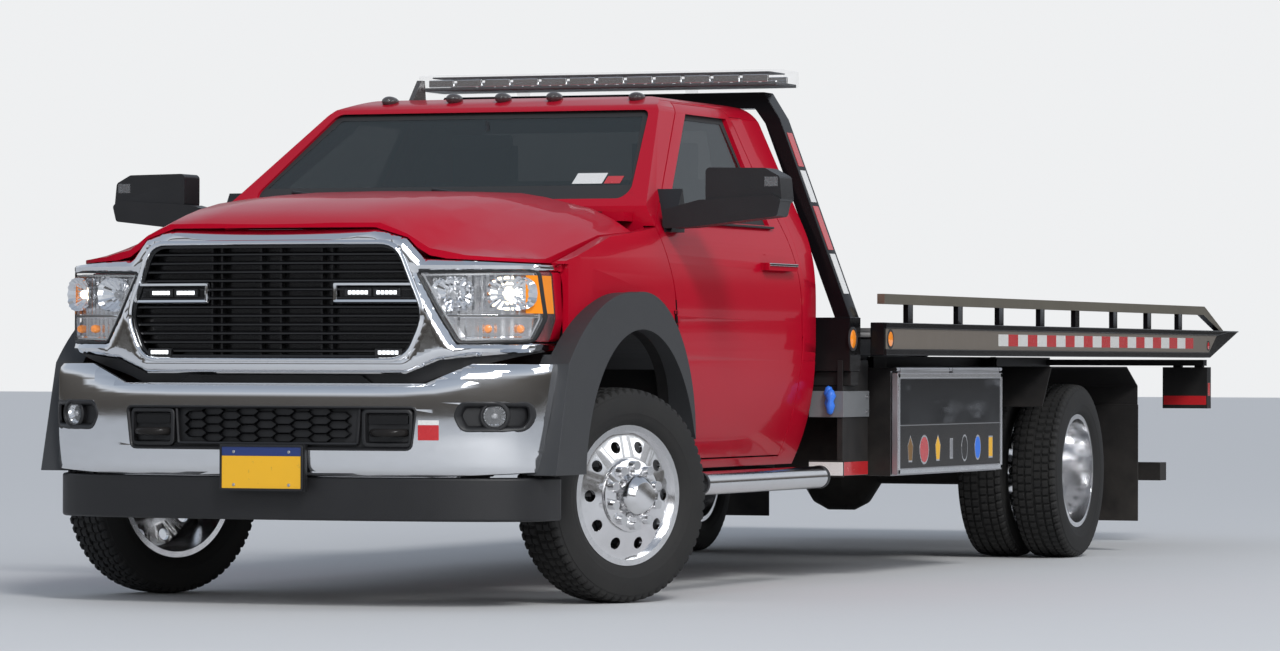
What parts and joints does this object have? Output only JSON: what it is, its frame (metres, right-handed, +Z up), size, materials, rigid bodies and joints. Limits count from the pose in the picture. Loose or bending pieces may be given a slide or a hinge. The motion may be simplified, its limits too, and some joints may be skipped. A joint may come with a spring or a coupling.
{
  "type": "flatbed tow truck",
  "caption": "Heavy-duty regular-cab truck with twin rear wheels and a steel bed that tilts and slides back to the ground, with a wheel lift behind.",
  "frame": {"origin": "middle of the footprint, on the ground", "axes": "+X to the truck's left, +Y to its rear, +Z up"},
  "size_m": [2.8274, 8.865, 2.0999],
  "materials": {
    "body_paint": "gloss red",
    "chrome": "mirror chrome",
    "polished_aluminium": "polished",
    "black_steel": "semi-gloss black",
    "cast_iron": "as cast",
    "bright_steel": "ground",
    "black_plastic": "textured black",
    "seat_fabric": "woven grey",
    "glass": "tinted",
    "lamp": "clear lens",
    "box_aluminium": "brushed",
    "winch_steel": "grey",
    "tyre": "matte"
  },
  "bodies": {
    "chassis": {"chassis_frame": "black_steel", "mounting_frame": "black_steel", "front_axle": "black_steel", "rear_axle": "black_steel", "springs": "black_steel", "engine_block": "cast_iron", "driveline": "black_steel", "exhaust": "bright_steel", "fuel_tank": "black_steel", "cab_floor": "body_paint", "cab_back": "body_paint", "cab_roof": "body_paint", "cab_front": "body_paint", "cab_glass": "glass", "dashboard": "black_plastic", "seats": "seat_fabric", "front_fenders": "body_paint", "fender_flares": "black_plastic", "grille_surround": "chrome", "grille": "black_plastic", "headlamps": "lamp", "bumper": "chrome", "bumper_insert": "black_plastic", "air_dam": "black_plastic", "roof_lamps": "lamp", "side_steps": "polished_aluminium", "hoop": "black_steel", "light_bar": "chrome", "body_panels": "black_steel", "toolboxes": "box_aluminium"},
    "hood": {"hood": "body_paint"},
    "door_left": {"door_left": "body_paint", "door_glass_left": "glass", "mirror_left": "black_plastic"},
    "door_right": {"door_right": "body_paint", "door_glass_right": "glass", "mirror_right": "black_plastic"},
    "knuckle_left": {"knuckle_left": "cast_iron"},
    "knuckle_right": {"knuckle_right": "cast_iron"},
    "tie_rod": {"tie_rod": "bright_steel"},
    "front_wheel_left": {"wheel_front_left": "polished_aluminium", "tyre_front_left": "tyre"},
    "front_wheel_right": {"wheel_front_right": "polished_aluminium", "tyre_front_right": "tyre"},
    "rear_wheels_left": {"wheel_rear_left": "polished_aluminium", "tyre_rear_left": "tyre"},
    "rear_wheels_right": {"wheel_rear_right": "polished_aluminium", "tyre_rear_right": "tyre"},
    "tilt_frame": {"tilt_frame": "black_steel"},
    "bed": {"bed_deck": "black_steel", "side_rails": "black_steel", "guard_rails": "polished_aluminium", "winch": "winch_steel"},
    "tilt_barrels": {"tilt_barrels": "black_steel"},
    "tilt_rods": {"tilt_rods": "bright_steel"},
    "lift_boom": {"lift_boom": "black_steel"},
    "lift_stinger": {"lift_stinger": "black_steel"},
    "lift_crossbar": {"lift_crossbar": "black_steel"},
    "toolbox_door_left": {"toolbox_door_left": "box_aluminium"},
    "toolbox_door_right": {"toolbox_door_right": "box_aluminium"}
  },
  "joints": [
    {"name": "hood_hinge", "type": "hinge", "parent": "chassis", "child": "hood", "pos_m": [0, -2.9825, 1.48], "axis": [-1, 0, 0], "range_deg": [0, 45]},
    {"name": "door_left_hinge", "type": "hinge", "parent": "chassis", "child": "door_left", "pos_m": [0.988, -2.8075, 0.9], "axis": [0, 0.2119, -0.9773], "range_deg": [0, 65]},
    {"name": "door_right_hinge", "type": "hinge", "parent": "chassis", "child": "door_right", "pos_m": [-0.988, -2.8075, 0.9], "axis": [0, -0.2119, 0.9773], "range_deg": [0, 65]},
    {"name": "steering", "type": "hinge", "parent": "chassis", "child": "knuckle_left", "pos_m": [0.9, -3.3675, 0.4], "axis": [0, 0, 1], "range_deg": [-10, 60]},
    {"name": "steering_right", "type": "hinge", "parent": "chassis", "child": "knuckle_right", "pos_m": [-0.9, -3.3675, 0.4], "axis": [0, 0, 1], "range_deg": [-10, 60]},
    {"name": "tie_rod_pivot", "type": "hinge", "parent": "knuckle_left", "child": "tie_rod", "pos_m": [0.96339, -3.23155, 0.408], "axis": [0, 0, 1], "range_deg": [-60, 10]},
    {"name": "front_wheel_left_spin", "type": "hinge", "parent": "knuckle_left", "child": "front_wheel_left", "pos_m": [0.94078, -3.38652, 0.4], "axis": [0.9063, -0.4226, 0], "continuous": true},
    {"name": "front_wheel_right_spin", "type": "hinge", "parent": "knuckle_right", "child": "front_wheel_right", "pos_m": [-0.94078, -3.34848, 0.4], "axis": [0.9063, -0.4226, 0], "continuous": true},
    {"name": "rear_wheels_left_spin", "type": "hinge", "parent": "chassis", "child": "rear_wheels_left", "pos_m": [0.93, 1.8265, 0.4], "axis": [1, 0, 0], "continuous": true},
    {"name": "rear_wheels_right_spin", "type": "hinge", "parent": "chassis", "child": "rear_wheels_right", "pos_m": [-0.93, 1.8265, 0.4], "axis": [1, 0, 0], "continuous": true},
    {"name": "bed_tilt", "type": "hinge", "parent": "chassis", "child": "tilt_frame", "pos_m": [0, 2.9325, 0.895], "axis": [-1, 0, 0], "range_deg": [0, 13]},
    {"name": "bed_slide", "type": "slide", "parent": "tilt_frame", "child": "bed", "axis": [0, 1, 0], "range_m": [0, 2.9]},
    {"name": "tilt_barrel_pivot", "type": "hinge", "parent": "chassis", "child": "tilt_barrels", "pos_m": [0.55, -0.3175, 0.64], "axis": [1, 0, 0], "range_deg": [0, 23.7]},
    {"name": "tilt_rod_slide", "type": "slide", "parent": "tilt_barrels", "child": "tilt_rods", "axis": [0, 0.9621, 0.2726], "range_m": [0, 0.314]},
    {"name": "lift_boom_hinge", "type": "hinge", "parent": "chassis", "child": "lift_boom", "pos_m": [0, 2.9325, 0.52], "axis": [-1, 0, 0], "range_deg": [0, 6]},
    {"name": "lift_stinger_slide", "type": "slide", "parent": "lift_boom", "child": "lift_stinger", "axis": [0, 1, 0], "range_m": [0, 0.6]},
    {"name": "lift_crossbar_swivel", "type": "hinge", "parent": "lift_stinger", "child": "lift_crossbar", "pos_m": [0, 4.0325, 0.375], "axis": [0, 0, 1], "range_deg": [-20, 20]},
    {"name": "toolbox_door_left_hinge", "type": "hinge", "parent": "chassis", "child": "toolbox_door_left", "pos_m": [1.181, -0.1375, 0.868], "axis": [0, -1, 0], "range_deg": [0, 85]},
    {"name": "toolbox_door_right_hinge", "type": "hinge", "parent": "chassis", "child": "toolbox_door_right", "pos_m": [-1.181, -0.1375, 0.868], "axis": [0, 1, 0], "range_deg": [0, 85]}
  ],
  "couplings": [
    {"joint": "steering_right", "follows": "steering", "ratio": 1},
    {"joint": "tie_rod_pivot", "follows": "steering", "ratio": -1},
    {"joint": "tilt_barrel_pivot", "follows": "bed_tilt", "ratio": 1.7999},
    {"joint": "tilt_rod_slide", "follows": "bed_tilt", "m_per_rad": 1.3397}
  ]
}
